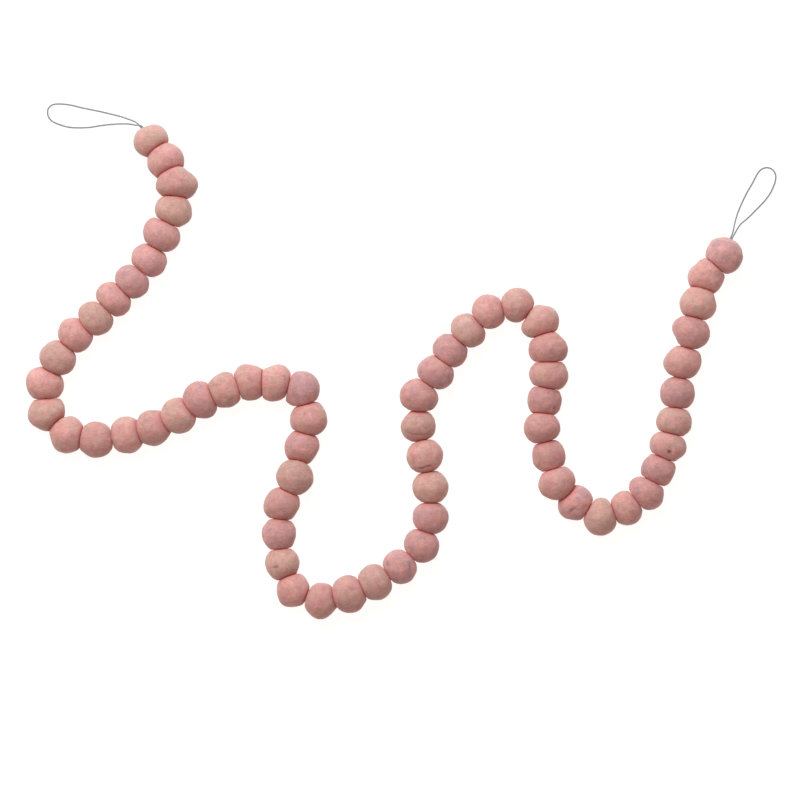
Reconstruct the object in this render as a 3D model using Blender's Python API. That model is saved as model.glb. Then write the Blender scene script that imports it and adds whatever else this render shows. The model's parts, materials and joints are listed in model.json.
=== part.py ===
"""Felt ball garland, lying in curves on a table.

Sixty-five wool felt balls are threaded on one cotton string and pushed together
until each has a flat face against the next one. Beyond the first ball and beyond
the last one the string is turned back on itself as a loop to hang it by.

The garland is seen from above: X runs to the right, Y away from the viewer and Z
up from the table. The origin lies on the table, under the middle of the balls.
"""

import math
from collections import namedtuple

import bmesh
import bpy
from mathutils import Vector, noise

MM = 0.001

# Driving sizes, in millimetres.
GAP = 0.3  # between two pieces that touch
STRING_WIDTH = 1.0
STRAND_OFFSET = 0.65  # from the middle of a doubled string to each strand
BORE_WIDTH = 2.0  # the needle's hole, corner to corner
LOOP_BORE_WIDTH = 3.5  # the same where a loop's two strands come out
LOOP_MOUTH_WIDTH = 8.0  # the flat around that hole
ROUNDNESS = 0.96  # a ball's height over its width
FLAT_SPOT_DEPTH = 0.7  # how far a ball's own weight presses it flat below
UNEVENNESS = 0.035  # of a ball's size, how far its surface wanders
LUMP_SIZE = 11.0
LOOP_FALL = 26.0  # length over which a loop comes down to the table
LOOP_POINT_STEP = 2.3
LOOP_RESTING = 0.52  # height of a loop's middle line where it lies on the table

SIDES = 12  # round a ball
BORE_SIDES = 6
BANDS = 3  # from a ball's widest section to its face

UP = Vector((0.0, 0.0, 1.0))

# The balls in their order on the string. x and y are the middle of a ball's widest
# section, across is its width there, and seam is the width of its flat face
# against the next ball. The next ball leans over this one there, so the top of
# that face lies nearer to this ball by lean, or further off where lean is less
# than nothing. It is read from the photograph to about half a millimetre.
Ball = namedtuple("Ball", "x y across seam lean")
BALLS = (
    # The left end, down to the first turn
    Ball(-175.4, 173.3, 26.5, 18.5, 2.1),
    Ball(-164.8, 158.6, 28.5, 20.5, 2.2),
    Ball(-156.1, 140.2, 31.2, 18.0, 2.0),
    Ball(-158.6, 120.3, 28.6, 15.3, 0.0),
    Ball(-167.2, 102.4, 29.0, 14.8, -0.3),
    Ball(-177.0, 83.4, 27.0, 14.5, 0.0),
    Ball(-189.6, 67.4, 27.2, 16.0, -0.9),
    Ball(-203.1, 54.3, 28.0, 16.0, 0.2),
    Ball(-216.4, 40.0, 27.2, 16.4, -1.7),
    Ball(-231.5, 27.6, 27.3, 15.9, -0.8),
    Ball(-245.4, 10.2, 28.6, 15.4, -1.3),
    Ball(-254.7, -9.0, 28.6, 16.2, 0.0),
    Ball(-253.6, -32.0, 28.6, 14.8, 1.6),
    # Along the left, up to the second turn
    Ball(-238.5, -47.2, 28.5, 16.4, 1.2),
    Ball(-216.1, -51.1, 27.7, 14.2, 0.2),
    Ball(-193.5, -47.5, 28.0, 18.2, 2.4),
    Ball(-173.3, -42.3, 27.5, 16.8, 2.6),
    Ball(-154.7, -33.0, 28.0, 17.6, 1.7),
    Ball(-138.3, -21.2, 28.5, 19.2, 1.2),
    Ball(-120.2, -13.9, 27.8, 19.0, -0.4),
    Ball(-101.3, -7.8, 28.0, 20.2, 0.8),
    Ball(-81.9, -8.2, 28.3, 16.6, 0.3),
    Ball(-62.3, -12.9, 27.2, 15.0, -0.7),
    # Down to the lowest turn
    Ball(-56.5, -35.6, 28.0, 16.2, -0.5),
    Ball(-62.0, -56.7, 26.4, 14.2, 1.3),
    Ball(-67.5, -79.2, 27.9, 15.6, -0.8),
    Ball(-77.0, -100.0, 27.0, 15.0, 0.4),
    Ball(-79.0, -122.0, 25.0, 14.4, 0.0),
    Ball(-76.6, -144.4, 25.2, 14.6, 1.0),
    Ball(-68.5, -164.2, 24.4, 11.5, 0.0),
    Ball(-48.0, -171.9, 27.5, 16.6, 1.2),
    Ball(-27.0, -167.0, 28.6, 17.0, 0.6),
    Ball(-6.9, -157.7, 27.8, 13.8, 0.2),
    Ball(11.0, -146.6, 26.8, 12.2, 0.0),
    # Up the middle
    Ball(27.6, -130.6, 26.5, 14.2, 0.5),
    Ball(34.2, -109.5, 26.8, 12.6, 0.4),
    Ball(34.2, -87.2, 27.0, 12.4, 0.2),
    Ball(29.9, -63.2, 27.6, 11.8, -0.2),
    Ball(25.1, -40.6, 26.8, 12.0, 0.7),
    Ball(25.8, -18.2, 28.5, 15.0, 0.2),
    Ball(38.1, -0.3, 29.0, 17.8, 1.0),
    Ball(49.4, 16.0, 27.0, 16.8, 0.7),
    Ball(62.2, 30.6, 27.2, 14.4, 0.7),
    Ball(77.9, 44.6, 26.6, 12.8, 0.4),
    Ball(99.6, 49.9, 26.0, 12.8, 0.0),
    # Down again
    Ball(116.9, 37.6, 28.2, 17.0, 0.7),
    Ball(122.8, 17.4, 29.5, 19.5, 0.0),
    Ball(123.2, -2.9, 28.7, 18.0, 0.6),
    Ball(119.8, -22.0, 26.1, 16.2, 0.5),
    Ball(117.9, -42.2, 27.9, 14.2, 0.0),
    Ball(122.9, -63.0, 25.2, 15.6, -0.6),
    Ball(129.3, -83.6, 28.8, 15.6, -1.8),
    Ball(143.1, -98.2, 26.5, 15.0, -0.4),
    Ball(162.0, -109.0, 28.6, 15.4, 0.0),
    # Up to the right end
    Ball(181.3, -102.3, 26.5, 16.0, 0.0),
    Ball(196.2, -91.2, 27.5, 17.6, 0.0),
    Ball(205.1, -73.6, 27.5, 18.4, 0.0),
    Ball(212.6, -55.9, 28.5, 17.4, 0.0),
    Ball(217.0, -38.1, 26.9, 14.4, 0.0),
    Ball(219.6, -16.3, 26.6, 12.6, 0.0),
    Ball(223.3, 7.0, 28.4, 12.2, 0.4),
    Ball(229.8, 29.3, 28.6, 15.2, -0.5),
    Ball(235.0, 50.7, 28.5, 18.6, -1.3),
    Ball(241.0, 71.5, 27.5, 18.8, -0.4),
    Ball(254.6, 87.1, 28.5, LOOP_MOUTH_WIDTH, 0.0),
)

# Where the string comes out of the first ball and out of the last one.
LEFT_MOUTH = Vector((-182.2, 183.2))
RIGHT_MOUTH = Vector((259.7, 99.3))

# The first ball of each two that are pressed so hard that they are one body.
PRESSED_PAIRS = (2, 16, 19, 21, 41, 47, 57, 63)

# Each loop seen from above, from one strand at the ball round to the other.
LEFT_LOOP = (
    (-186.5, 186.9),
    (-192.4, 189.4),
    (-198.4, 191.5),
    (-206.0, 193.4),
    (-213.5, 195.2),
    (-221.0, 196.7),
    (-228.5, 198.3),
    (-236.0, 200.1),
    (-243.4, 200.9),
    (-249.3, 200.3),
    (-252.4, 197.6),
    (-253.1, 194.2),
    (-252.0, 190.4),
    (-248.6, 187.3),
    (-242.0, 184.7),
    (-236.0, 183.3),
    (-228.5, 183.0),
    (-221.0, 183.4),
    (-213.5, 184.6),
    (-206.0, 185.5),
    (-198.4, 185.9),
    (-191.5, 185.7),
    (-186.6, 184.8),
)
RIGHT_LOOP = (
    (261.2, 104.6),
    (262.5, 110.8),
    (264.8, 118.6),
    (268.2, 126.8),
    (272.0, 134.6),
    (275.4, 140.3),
    (278.9, 147.0),
    (282.1, 151.4),
    (286.9, 153.1),
    (291.2, 151.4),
    (293.4, 147.4),
    (292.9, 142.0),
    (289.9, 134.8),
    (286.2, 129.4),
    (282.1, 124.8),
    (277.2, 119.8),
    (272.2, 114.9),
    (266.8, 110.2),
    (263.3, 104.8),
)


def clear_scene():
    for obj in list(bpy.data.objects):
        bpy.data.objects.remove(obj, do_unlink=True)


def linear(level):
    return level / 12.92 if level <= 0.04045 else ((level + 0.055) / 1.055) ** 2.4


def make_material(name, colour, roughness):
    """A plain material, its colour given as sRGB hex."""
    levels = [int(colour[i : i + 2], 16) / 255 for i in (1, 3, 5)]
    material = bpy.data.materials.new(name)
    material.use_nodes = True
    shader = material.node_tree.nodes["Principled BSDF"]
    shader.inputs["Base Color"].default_value = [*map(linear, levels), 1.0]
    shader.inputs["Roughness"].default_value = roughness
    shader.inputs["Metallic"].default_value = 0.0
    return material


def add_object(name, data, material):
    data.materials.append(material)
    obj = bpy.data.objects.new(name, data)
    bpy.context.scene.collection.objects.link(obj)
    return obj


def ball_middle(number):
    """The middle of a ball, at half its height above its flat spot."""
    ball = BALLS[number - 1]
    height = ball.across / 2 * ROUNDNESS - FLAT_SPOT_DEPTH
    return Vector((ball.x, ball.y, height))


def raised(mouth, number):
    """A loop's mouth, on the level of its ball's middle."""
    return Vector((mouth.x, mouth.y, ball_middle(number).z))


MIDDLES = {number: ball_middle(number) for number in range(1, len(BALLS) + 1)}
LAST = len(BALLS)


def face_after(number):
    """The middle of the face that a ball has towards the next one."""
    if number == 0:
        return raised(LEFT_MOUTH, 1)
    if number == LAST:
        return raised(RIGHT_MOUTH, LAST)
    return (MIDDLES[number] + MIDDLES[number + 1]) / 2


def directions(number):
    """Which way the string runs as it enters a ball, and as it leaves it."""
    arriving = MIDDLES[number] - face_after(number - 1)
    leaving = face_after(number) - MIDDLES[number]
    return arriving.normalized(), leaving.normalized()


def ring(along, half_width, sides, slope=0.0):
    """Points round a section that faces along, from its middle, the first at its side.

    Its top leans back by slope for each millimetre of its height.
    """
    along = along.normalized()
    side = UP.cross(along).normalized()
    top = along.cross(side) * ROUNDNESS - along * slope * ROUNDNESS
    turns = [math.tau * step / sides for step in range(sides)]
    return [(side * math.cos(turn) + top * math.sin(turn)) * half_width for turn in turns]


def swing(start, end, share):
    """A vector on its way from one to another, turning as it changes its length."""
    length = start.length + (end.length - start.length) * share
    return start.normalized().slerp(end.normalized(), share) * length


def half_ball(number, face, along, seam, slope):
    """Sections from a ball's widest one out to the face on one side of it."""
    middle = MIDDLES[number]
    arriving, leaving = directions(number)
    widest = ring(arriving + leaving, BALLS[number - 1].across / 2, SIDES)
    rim = [face - middle + point for point in ring(along, seam / 2, SIDES, slope)]
    sections = []
    for band in range(BANDS):
        section = []
        for start, end in zip(widest, rim):
            out = swing(start, end, band / BANDS)
            wander = UNEVENNESS * noise.noise((middle + out) / LUMP_SIZE)
            section.append(middle + out * (1 + wander))
        sections.append(section)
    return sections + [[middle + point for point in rim]]


def seam_of(number):
    """The width of the face between a ball and the next one."""
    return BALLS[number - 1].seam if number else LOOP_MOUTH_WIDTH


def slope_of(number):
    """How steeply the face between a ball and the next one leans."""
    if number in (0, LAST):
        return 0.0
    ball = BALLS[number - 1]
    return ball.lean / (ball.seam / 2 * ROUNDNESS)


def clearance(number):
    """Half of the gap at a face, measured along the string."""
    return GAP / 2 * math.hypot(1.0, slope_of(number))


def ball_sections(number, first, last):
    """All of a ball's sections, in the string's order."""
    before = number - 1
    arriving, leaving = directions(number)
    entry = face_after(before) + arriving * (clearance(before) if first else 0.0)
    exit_face = face_after(number) - leaving * (clearance(number) if last else 0.0)
    behind = half_ball(number, entry, arriving, seam_of(before), slope_of(before))
    ahead = half_ball(number, exit_face, leaving, seam_of(number), slope_of(number))
    return behind[:0:-1] + ahead


def bore_rings(numbers):
    """The string's way through one ball or through a pressed pair."""
    width = LOOP_BORE_WIDTH if {1, LAST} & set(numbers) else BORE_WIDTH
    before, last = numbers[0] - 1, numbers[-1]
    arriving = directions(numbers[0])[0]
    leaving = directions(last)[1]
    entry = face_after(before) + arriving * clearance(before)
    exit_face = face_after(last) - leaving * clearance(last)
    stops = [(entry, arriving, slope_of(before))]
    stops += [(MIDDLES[each], sum(directions(each), Vector()), 0.0) for each in numbers]
    stops.append((exit_face, leaving, slope_of(last)))
    return [
        [place + point for point in ring(along, width / 2, BORE_SIDES, slope)]
        for place, along, slope in stops
    ]


def skin(bm, rings):
    """Faces between each ring of vertices and the next one."""
    for ring, other in zip(rings, rings[1:]):
        for step, corner in enumerate(ring):
            following = (step + 1) % len(ring)
            bm.faces.new((corner, ring[following], other[following], other[step]))


def face_round_bore(bm, outer, inner):
    """The flat face between a section and the bore's mouth."""
    share = SIDES // BORE_SIDES
    for step, corner in enumerate(inner):
        following = inner[(step + 1) % BORE_SIDES]
        arc = [outer[(step * share + i) % SIDES] for i in range(share + 1)]
        bm.faces.new((*arc, following, corner))


def make_felt_body(numbers, material):
    """One ball, or two pressed together, with the string's bore through it."""
    sections = ball_sections(numbers[0], True, len(numbers) == 1)
    for number in numbers[1:]:
        sections += ball_sections(number, False, True)[1:]
    bm = bmesh.new()
    outer = [[bm.verts.new(point * MM) for point in ring] for ring in sections]
    inner = [[bm.verts.new(point * MM) for point in ring] for ring in bore_rings(numbers)]
    skin(bm, outer)
    skin(bm, inner)
    face_round_bore(bm, outer[0], inner[0])
    face_round_bore(bm, outer[-1], inner[-1])
    bmesh.ops.recalc_face_normals(bm, faces=bm.faces[:])
    press_flat_spot(bm)
    name = "ball_{:02d}" if len(numbers) == 1 else "balls_{:02d}_{:02d}"
    mesh = bpy.data.meshes.new(name.format(*numbers))
    bm.to_mesh(mesh)
    bm.free()
    mesh.shade_smooth()
    mesh.set_sharp_from_angle(angle=math.radians(40))
    return add_object(mesh.name, mesh, material)


def press_flat_spot(bm):
    """Cuts off what lies below the table and closes the cut."""
    geometry = bm.verts[:] + bm.edges[:] + bm.faces[:]
    bmesh.ops.bisect_plane(
        bm, geom=geometry, plane_co=(0, 0, 0), plane_no=UP, clear_inner=True
    )
    rim = [edge for edge in bm.edges if edge.is_boundary]
    bmesh.ops.holes_fill(bm, edges=rim)
    bmesh.ops.recalc_face_normals(bm, faces=bm.faces[:])


def make_tube(name, points, bevel_resolution, material):
    """A round string along the given points, with closed ends."""
    curve = bpy.data.curves.new(name, "CURVE")
    curve.dimensions = "3D"
    curve.bevel_depth = STRING_WIDTH / 2 * MM
    curve.bevel_resolution = bevel_resolution
    curve.use_fill_caps = True
    spline = curve.splines.new("POLY")
    spline.points.add(len(points) - 1)
    for target, point in zip(spline.points, points):
        target.co = (*(point * MM), 1.0)
    return add_object(name, curve, material)


def on_curve(points, position):
    """A point of the smooth curve that passes through all the points."""
    start = min(int(position), len(points) - 2)
    share = position - start
    a = points[max(start - 1, 0)]
    b = points[start]
    c = points[start + 1]
    d = points[min(start + 2, len(points) - 1)]
    bend = (2 * a - 5 * b + 4 * c - d) * share + (3 * b - a - 3 * c + d) * share**2
    return b + (c - a + bend) * (share / 2)


def evenly_spaced(points, step):
    """Points about one step apart along the smooth curve through the given ones."""
    fine = 40
    last = len(points) - 1
    dense = [on_curve(points, i / fine) for i in range(last * fine + 1)]
    travelled = [0.0]
    for a, b in zip(dense, dense[1:]):
        travelled.append(travelled[-1] + (b - a).length)
    count = round(travelled[-1] / step)
    chosen = []
    place = 0
    for i in range(count + 1):
        goal = travelled[-1] * i / count
        while place < len(dense) - 1 and travelled[place] < goal:
            place += 1
        chosen.append(dense[place])
    return chosen


def fallen(height, distance):
    """How high a loop's string is at a distance from its ball's mouth."""
    share = min(distance / LOOP_FALL, 1.0)
    return LOOP_RESTING + (height - LOOP_RESTING) * (1 - share) ** 2 * (1 + 2 * share)


def loop_route(ball_number, mouth, plan):
    """A loop's route: out of the ball, down to the table, round and back in."""
    middle = MIDDLES[ball_number]
    mouth = raised(mouth, ball_number)
    outwards = (mouth - middle).normalized()
    side = UP.cross(outwards) * STRAND_OFFSET
    if (Vector((*plan[0], mouth.z)) - mouth).dot(side) < 0:
        side = -side
    start = middle + outwards * GAP
    halfway = (start + mouth) / 2
    clear = mouth + outwards
    points = [Vector((*place, 0.0)) for place in plan]
    for point in points:
        distance = (point.to_2d() - mouth.to_2d()).length
        point.z = fallen(mouth.z, distance)
    way_out = [start + side, halfway + side, mouth + side, clear + side]
    way_in = [clear - side, mouth - side, halfway - side, start - side]
    route = evenly_spaced(way_out + points + way_in, LOOP_POINT_STEP)
    for point in route:
        point.z = max(point.z, LOOP_RESTING)
    return route


def main():
    clear_scene()
    felt = make_material("felt_dusty_pink", "#CD9188", 0.95)
    cotton = make_material("cotton_string", "#D8D6D2", 0.85)
    number = 1
    while number <= LAST:
        size = 2 if number in PRESSED_PAIRS else 1
        make_felt_body(list(range(number, number + size)), felt)
        number += size
    make_tube("string", [MIDDLES[i] for i in range(1, LAST + 1)], 1, cotton)
    make_tube("loop_left", loop_route(1, LEFT_MOUTH, LEFT_LOOP), 2, cotton)
    make_tube("loop_right", loop_route(LAST, RIGHT_MOUTH, RIGHT_LOOP), 2, cotton)


main()
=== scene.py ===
"""Felt ball garland, dressed as felted wool and twisted cotton.

Sixty-five wool felt balls are threaded on one cotton string and lie in loose curves
on a pale table, with a hanging loop at each end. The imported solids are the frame:
each ball here stands for the solid at its place, and so does each loop.

Lengths are in millimetres until a mesh is made, and in metres after that.
"""

import json
import math
import random
from collections import namedtuple

import bmesh
import bpy
from mathutils import Matrix, Vector, noise

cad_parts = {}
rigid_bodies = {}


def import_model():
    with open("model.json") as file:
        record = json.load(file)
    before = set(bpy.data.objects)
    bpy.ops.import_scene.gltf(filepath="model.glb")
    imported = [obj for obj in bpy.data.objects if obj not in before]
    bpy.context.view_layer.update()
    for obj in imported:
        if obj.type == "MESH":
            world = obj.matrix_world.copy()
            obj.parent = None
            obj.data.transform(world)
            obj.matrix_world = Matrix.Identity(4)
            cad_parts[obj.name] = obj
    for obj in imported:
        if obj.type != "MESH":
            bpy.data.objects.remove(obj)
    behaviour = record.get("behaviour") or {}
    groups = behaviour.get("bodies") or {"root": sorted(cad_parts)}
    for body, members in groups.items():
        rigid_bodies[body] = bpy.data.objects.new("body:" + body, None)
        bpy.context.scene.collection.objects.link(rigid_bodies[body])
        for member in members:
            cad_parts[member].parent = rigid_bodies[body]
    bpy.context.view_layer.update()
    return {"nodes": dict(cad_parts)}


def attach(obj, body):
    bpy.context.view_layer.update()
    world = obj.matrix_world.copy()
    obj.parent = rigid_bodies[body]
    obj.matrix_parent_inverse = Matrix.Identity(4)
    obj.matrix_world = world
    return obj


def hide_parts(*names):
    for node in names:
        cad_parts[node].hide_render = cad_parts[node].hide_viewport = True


bl_info = {
    "name": "Felt Ball Garland",
    "version": (1, 0, 0),
    "blender": (4, 5, 0),
    "location": "3D View > Sidebar > Garland",
    "description": "Makes the felt balls, their fuzz, the string and its loops",
    "category": "Object",
}

for leftover in list(bpy.data.objects):
    bpy.data.objects.remove(leftover, do_unlink=True)
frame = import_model()

MM = 0.001
UP = Vector((0.0, 0.0, 1.0))

# The sizes that the solids were made from, in millimetres.
GAP = 0.3
STRING_WIDTH = 1.0
STRAND_OFFSET = 0.65
LOOP_MOUTH_WIDTH = 8.0
ROUNDNESS = 0.96
FLAT_SPOT_DEPTH = 0.7
UNEVENNESS = 0.035
LUMP_SIZE = 11.0
LOOP_FALL = 26.0
LOOP_POINT_STEP = 2.3
LOOP_RESTING = 0.52

# The finer shape that each ball has here.
PRESSED_GAP = 0.02  # from its face to the middle of the seam
ROUND_RINGS = 22  # of its mesh, from its widest section to the rim of a face
FACE_RINGS = 4  # from that rim to the string
RING_POINTS = 96
RING_CROWDING = 1.4  # above 1, the rings lie closer together near the rim
FACE_CLEARANCE = 1.2  # how steeply the round body passes a face, inside its rim
LEAST_FACING = 0.25  # the cosine below which a face, or the table, limits nothing
MARK_FACING = 0.5  # the cosine below which a mark is on another side of the ball
SEAM_REACH = 1.5  # how far from the face against a neighbour the seam's painted shade reaches
SMALL_LUMPS = ((0.28, 5.2), (0.12, 2.6))  # how far each kind stands out, and its size

# The shallow dents in each ball, and the one where the string goes into an end ball.
DENTS = 7
DENT_RADII = (1.6, 3.6)
DENT_DEPTHS = (0.1, 0.38)
DENT_REACH = 2.5  # how many radii from its middle a dent ends
MOUTH_DENT = (1.9, 1.3)  # its radius and its depth

# The loops' string. The relief of its plies is a share of half the string's width.
PLIES = 3
PLY_TURN = 4.2  # the length of string in which the plies go round once
PLY_REACH = 1.04  # of a ridge, from the middle of the string
PLY_RELIEF = 0.09  # half the way from a ridge down to a groove
SECTION_CORNERS = 18
SECTION_STEP = 0.4
CURVE_STEPS = 40  # in which a route is measured, from one given point to the next

# Where each kind of chance starts counting. The ball's number is added.
DENT_SEED = 700
TINT_SEED = 40
FUZZ_SEED = 9000

# The balls in their order on the string: the middle of a ball's widest section, its
# width there, the width of its flat face against the next ball, and how much nearer
# to this ball the top of that face is, because the next one leans over it.
Ball = namedtuple("Ball", "x y across seam lean")
BALLS = (
    # The left end, down to the first turn
    Ball(-175.4, 173.3, 26.5, 18.5, 2.1),
    Ball(-164.8, 158.6, 28.5, 20.5, 2.2),
    Ball(-156.1, 140.2, 31.2, 18.0, 2.0),
    Ball(-158.6, 120.3, 28.6, 15.3, 0.0),
    Ball(-167.2, 102.4, 29.0, 14.8, -0.3),
    Ball(-177.0, 83.4, 27.0, 14.5, 0.0),
    Ball(-189.6, 67.4, 27.2, 16.0, -0.9),
    Ball(-203.1, 54.3, 28.0, 16.0, 0.2),
    Ball(-216.4, 40.0, 27.2, 16.4, -1.7),
    Ball(-231.5, 27.6, 27.3, 15.9, -0.8),
    Ball(-245.4, 10.2, 28.6, 15.4, -1.3),
    Ball(-254.7, -9.0, 28.6, 16.2, 0.0),
    Ball(-253.6, -32.0, 28.6, 14.8, 1.6),
    # Along the left, up to the second turn
    Ball(-238.5, -47.2, 28.5, 16.4, 1.2),
    Ball(-216.1, -51.1, 27.7, 14.2, 0.2),
    Ball(-193.5, -47.5, 28.0, 18.2, 2.4),
    Ball(-173.3, -42.3, 27.5, 16.8, 2.6),
    Ball(-154.7, -33.0, 28.0, 17.6, 1.7),
    Ball(-138.3, -21.2, 28.5, 19.2, 1.2),
    Ball(-120.2, -13.9, 27.8, 19.0, -0.4),
    Ball(-101.3, -7.8, 28.0, 20.2, 0.8),
    Ball(-81.9, -8.2, 28.3, 16.6, 0.3),
    Ball(-62.3, -12.9, 27.2, 15.0, -0.7),
    # Down to the lowest turn
    Ball(-56.5, -35.6, 28.0, 16.2, -0.5),
    Ball(-62.0, -56.7, 26.4, 14.2, 1.3),
    Ball(-67.5, -79.2, 27.9, 15.6, -0.8),
    Ball(-77.0, -100.0, 27.0, 15.0, 0.4),
    Ball(-79.0, -122.0, 25.0, 14.4, 0.0),
    Ball(-76.6, -144.4, 25.2, 14.6, 1.0),
    Ball(-68.5, -164.2, 24.4, 11.5, 0.0),
    Ball(-48.0, -171.9, 27.5, 16.6, 1.2),
    Ball(-27.0, -167.0, 28.6, 17.0, 0.6),
    Ball(-6.9, -157.7, 27.8, 13.8, 0.2),
    Ball(11.0, -146.6, 26.8, 12.2, 0.0),
    # Up the middle
    Ball(27.6, -130.6, 26.5, 14.2, 0.5),
    Ball(34.2, -109.5, 26.8, 12.6, 0.4),
    Ball(34.2, -87.2, 27.0, 12.4, 0.2),
    Ball(29.9, -63.2, 27.6, 11.8, -0.2),
    Ball(25.1, -40.6, 26.8, 12.0, 0.7),
    Ball(25.8, -18.2, 28.5, 15.0, 0.2),
    Ball(38.1, -0.3, 29.0, 17.8, 1.0),
    Ball(49.4, 16.0, 27.0, 16.8, 0.7),
    Ball(62.2, 30.6, 27.2, 14.4, 0.7),
    Ball(77.9, 44.6, 26.6, 12.8, 0.4),
    Ball(99.6, 49.9, 26.0, 12.8, 0.0),
    # Down again
    Ball(116.9, 37.6, 28.2, 17.0, 0.7),
    Ball(122.8, 17.4, 29.5, 19.5, 0.0),
    Ball(123.2, -2.9, 28.7, 18.0, 0.6),
    Ball(119.8, -22.0, 26.1, 16.2, 0.5),
    Ball(117.9, -42.2, 27.9, 14.2, 0.0),
    Ball(122.9, -63.0, 25.2, 15.6, -0.6),
    Ball(129.3, -83.6, 28.8, 15.6, -1.8),
    Ball(143.1, -98.2, 26.5, 15.0, -0.4),
    Ball(162.0, -109.0, 28.6, 15.4, 0.0),
    # Up to the right end
    Ball(181.3, -102.3, 26.5, 16.0, 0.0),
    Ball(196.2, -91.2, 27.5, 17.6, 0.0),
    Ball(205.1, -73.6, 27.5, 18.4, 0.0),
    Ball(212.6, -55.9, 28.5, 17.4, 0.0),
    Ball(217.0, -38.1, 26.9, 14.4, 0.0),
    Ball(219.6, -16.3, 26.6, 12.6, 0.0),
    Ball(223.3, 7.0, 28.4, 12.2, 0.4),
    Ball(229.8, 29.3, 28.6, 15.2, -0.5),
    Ball(235.0, 50.7, 28.5, 18.6, -1.3),
    Ball(241.0, 71.5, 27.5, 18.8, -0.4),
    Ball(254.6, 87.1, 28.5, LOOP_MOUTH_WIDTH, 0.0),
)
LAST = len(BALLS)
PRESSED_PAIRS = (2, 16, 19, 21, 41, 47, 57, 63)

# Where a ball's outline leaves the even round, seen from above: the heading from its
# middle in degrees, anticlockwise from the right, and how far out it bulges there, or
# in where the number is negative. Read to about half a millimetre.
Bulge = namedtuple("Bulge", "ball heading out")
BULGE_REACH = math.radians(26.0)
BULGES = (
    Bulge(1, 105, -1.4),
    Bulge(3, 50, -2.0),
    Bulge(3, 345, 0.8),
    Bulge(5, 120, 1.6),
    Bulge(8, 150, 0.9),
    Bulge(9, 150, 1.1),
    Bulge(10, 140, 0.7),
    Bulge(10, 330, -0.6),
    Bulge(11, 135, -1.1),
    Bulge(12, 150, 0.9),
    Bulge(13, 40, 1.0),
    Bulge(13, 240, -1.7),
    Bulge(14, 205, -1.3),
    Bulge(17, 320, -0.9),
    Bulge(19, 310, 0.9),
    Bulge(20, 130, -1.3),
    Bulge(21, 70, -0.9),
    Bulge(22, 110, -1.6),
    Bulge(22, 240, 0.9),
    Bulge(23, 220, 1.2),
    Bulge(24, 5, -0.8),
    Bulge(24, 200, 1.1),
    Bulge(25, 325, -1.2),
    Bulge(27, 200, 1.0),
    Bulge(27, 330, -1.3),
    Bulge(28, 165, 0.9),
    Bulge(29, 160, 0.8),
    Bulge(30, 60, 1.2),
    Bulge(30, 235, 1.5),
    Bulge(31, 320, -1.0),
    Bulge(35, 140, 0.9),
    Bulge(36, 20, 0.8),
    Bulge(39, 140, -1.3),
    Bulge(40, 200, 1.1),
    Bulge(40, 320, 1.0),
    Bulge(41, 125, -1.4),
    Bulge(43, 335, 0.8),
    Bulge(46, 75, -1.2),
    Bulge(46, 205, 2.0),
    Bulge(47, 40, -1.6),
    Bulge(47, 200, 0.9),
    Bulge(48, 165, 0.9),
    Bulge(52, 240, -0.8),
    Bulge(53, 215, 1.4),
    Bulge(56, 140, 1.1),
    Bulge(57, 145, -1.1),
    Bulge(57, 330, -1.4),
    Bulge(58, 315, -1.2),
    Bulge(61, 25, 1.3),
    Bulge(61, 140, -1.0),
    Bulge(62, 155, 1.0),
    Bulge(62, 200, -1.7),
    Bulge(63, 20, -1.0),
    Bulge(63, 140, -0.8),
    Bulge(64, 130, -1.7),
)

# Pits and folds that show on single balls: x and y from the ball's middle, seen from
# above, the length and width of each, its heading in degrees, how deep it is, and how
# dark the painted shade in it is, from 0 to 1.
Mark = namedtuple("Mark", "ball x y length width heading depth dark")
MARKS = (
    Mark(21, 1.4, 10.4, 2.2, 1.6, 0, 0.2, 0.25),
    Mark(23, 6.8, 3.3, 1.8, 1.6, 0, 0.3, 0.45),
    Mark(28, 3.7, 8.4, 3.6, 1.8, 0, 0.3, 0.35),
    Mark(29, -4.8, -2.3, 4.6, 1.9, 8, 0.6, 0.6),
    Mark(34, -9.1, 2.9, 4.4, 1.9, 75, 0.4, 0.45),
    Mark(34, 8.2, 0.0, 8.0, 1.4, 100, 0.5, 0.4),
    Mark(38, 2.6, -8.0, 5.4, 1.5, 12, 0.7, 0.65),
    Mark(38, -2.2, -9.4, 5.4, 1.5, 8, 0.7, 0.6),
    Mark(39, -0.5, -7.3, 13.0, 1.6, -5, 0.5, 0.3),
    Mark(49, 7.2, -5.5, 1.9, 1.7, 0, 0.4, 0.7),
    Mark(51, 4.9, -2.2, 6.0, 1.4, -28, 0.4, 0.3),
    Mark(53, -2.5, -5.9, 5.6, 2.0, 45, 0.6, 0.4),
    Mark(55, 6.1, 1.2, 5.0, 2.4, -45, 0.5, 0.25),
    Mark(58, 0.8, -4.6, 2.9, 2.6, 0, 0.9, 0.9),
)

# Balls whose wool is plainly yellower, pinker or bluer than the rest.
BEIGE_BALLS = (1, 4, 9, 11, 13, 18, 26, 29, 33, 37, 39, 43, 54, 59, 63)
ROSY_BALLS = (2, 8, 10, 12, 24, 27, 30, 40, 44, 47, 50, 51, 52, 64)
MAUVE_BALLS = (7, 23, 28, 34, 35, 60, 65)

# How far from beige, at 0, to mauve, at 1, the wool of these balls lies, and that of the
# others, and how light a ball may be against the average.
TINTS = ((0.08, BEIGE_BALLS), (0.5, ROSY_BALLS), (0.84, MAUVE_BALLS))
OTHER_TINTS = (0.28, 0.34, 0.66, 0.72)
SHADES = (0.93, 1.07)

LEFT_MOUTH = Vector((-182.2, 183.2))
RIGHT_MOUTH = Vector((259.7, 99.3))

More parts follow.
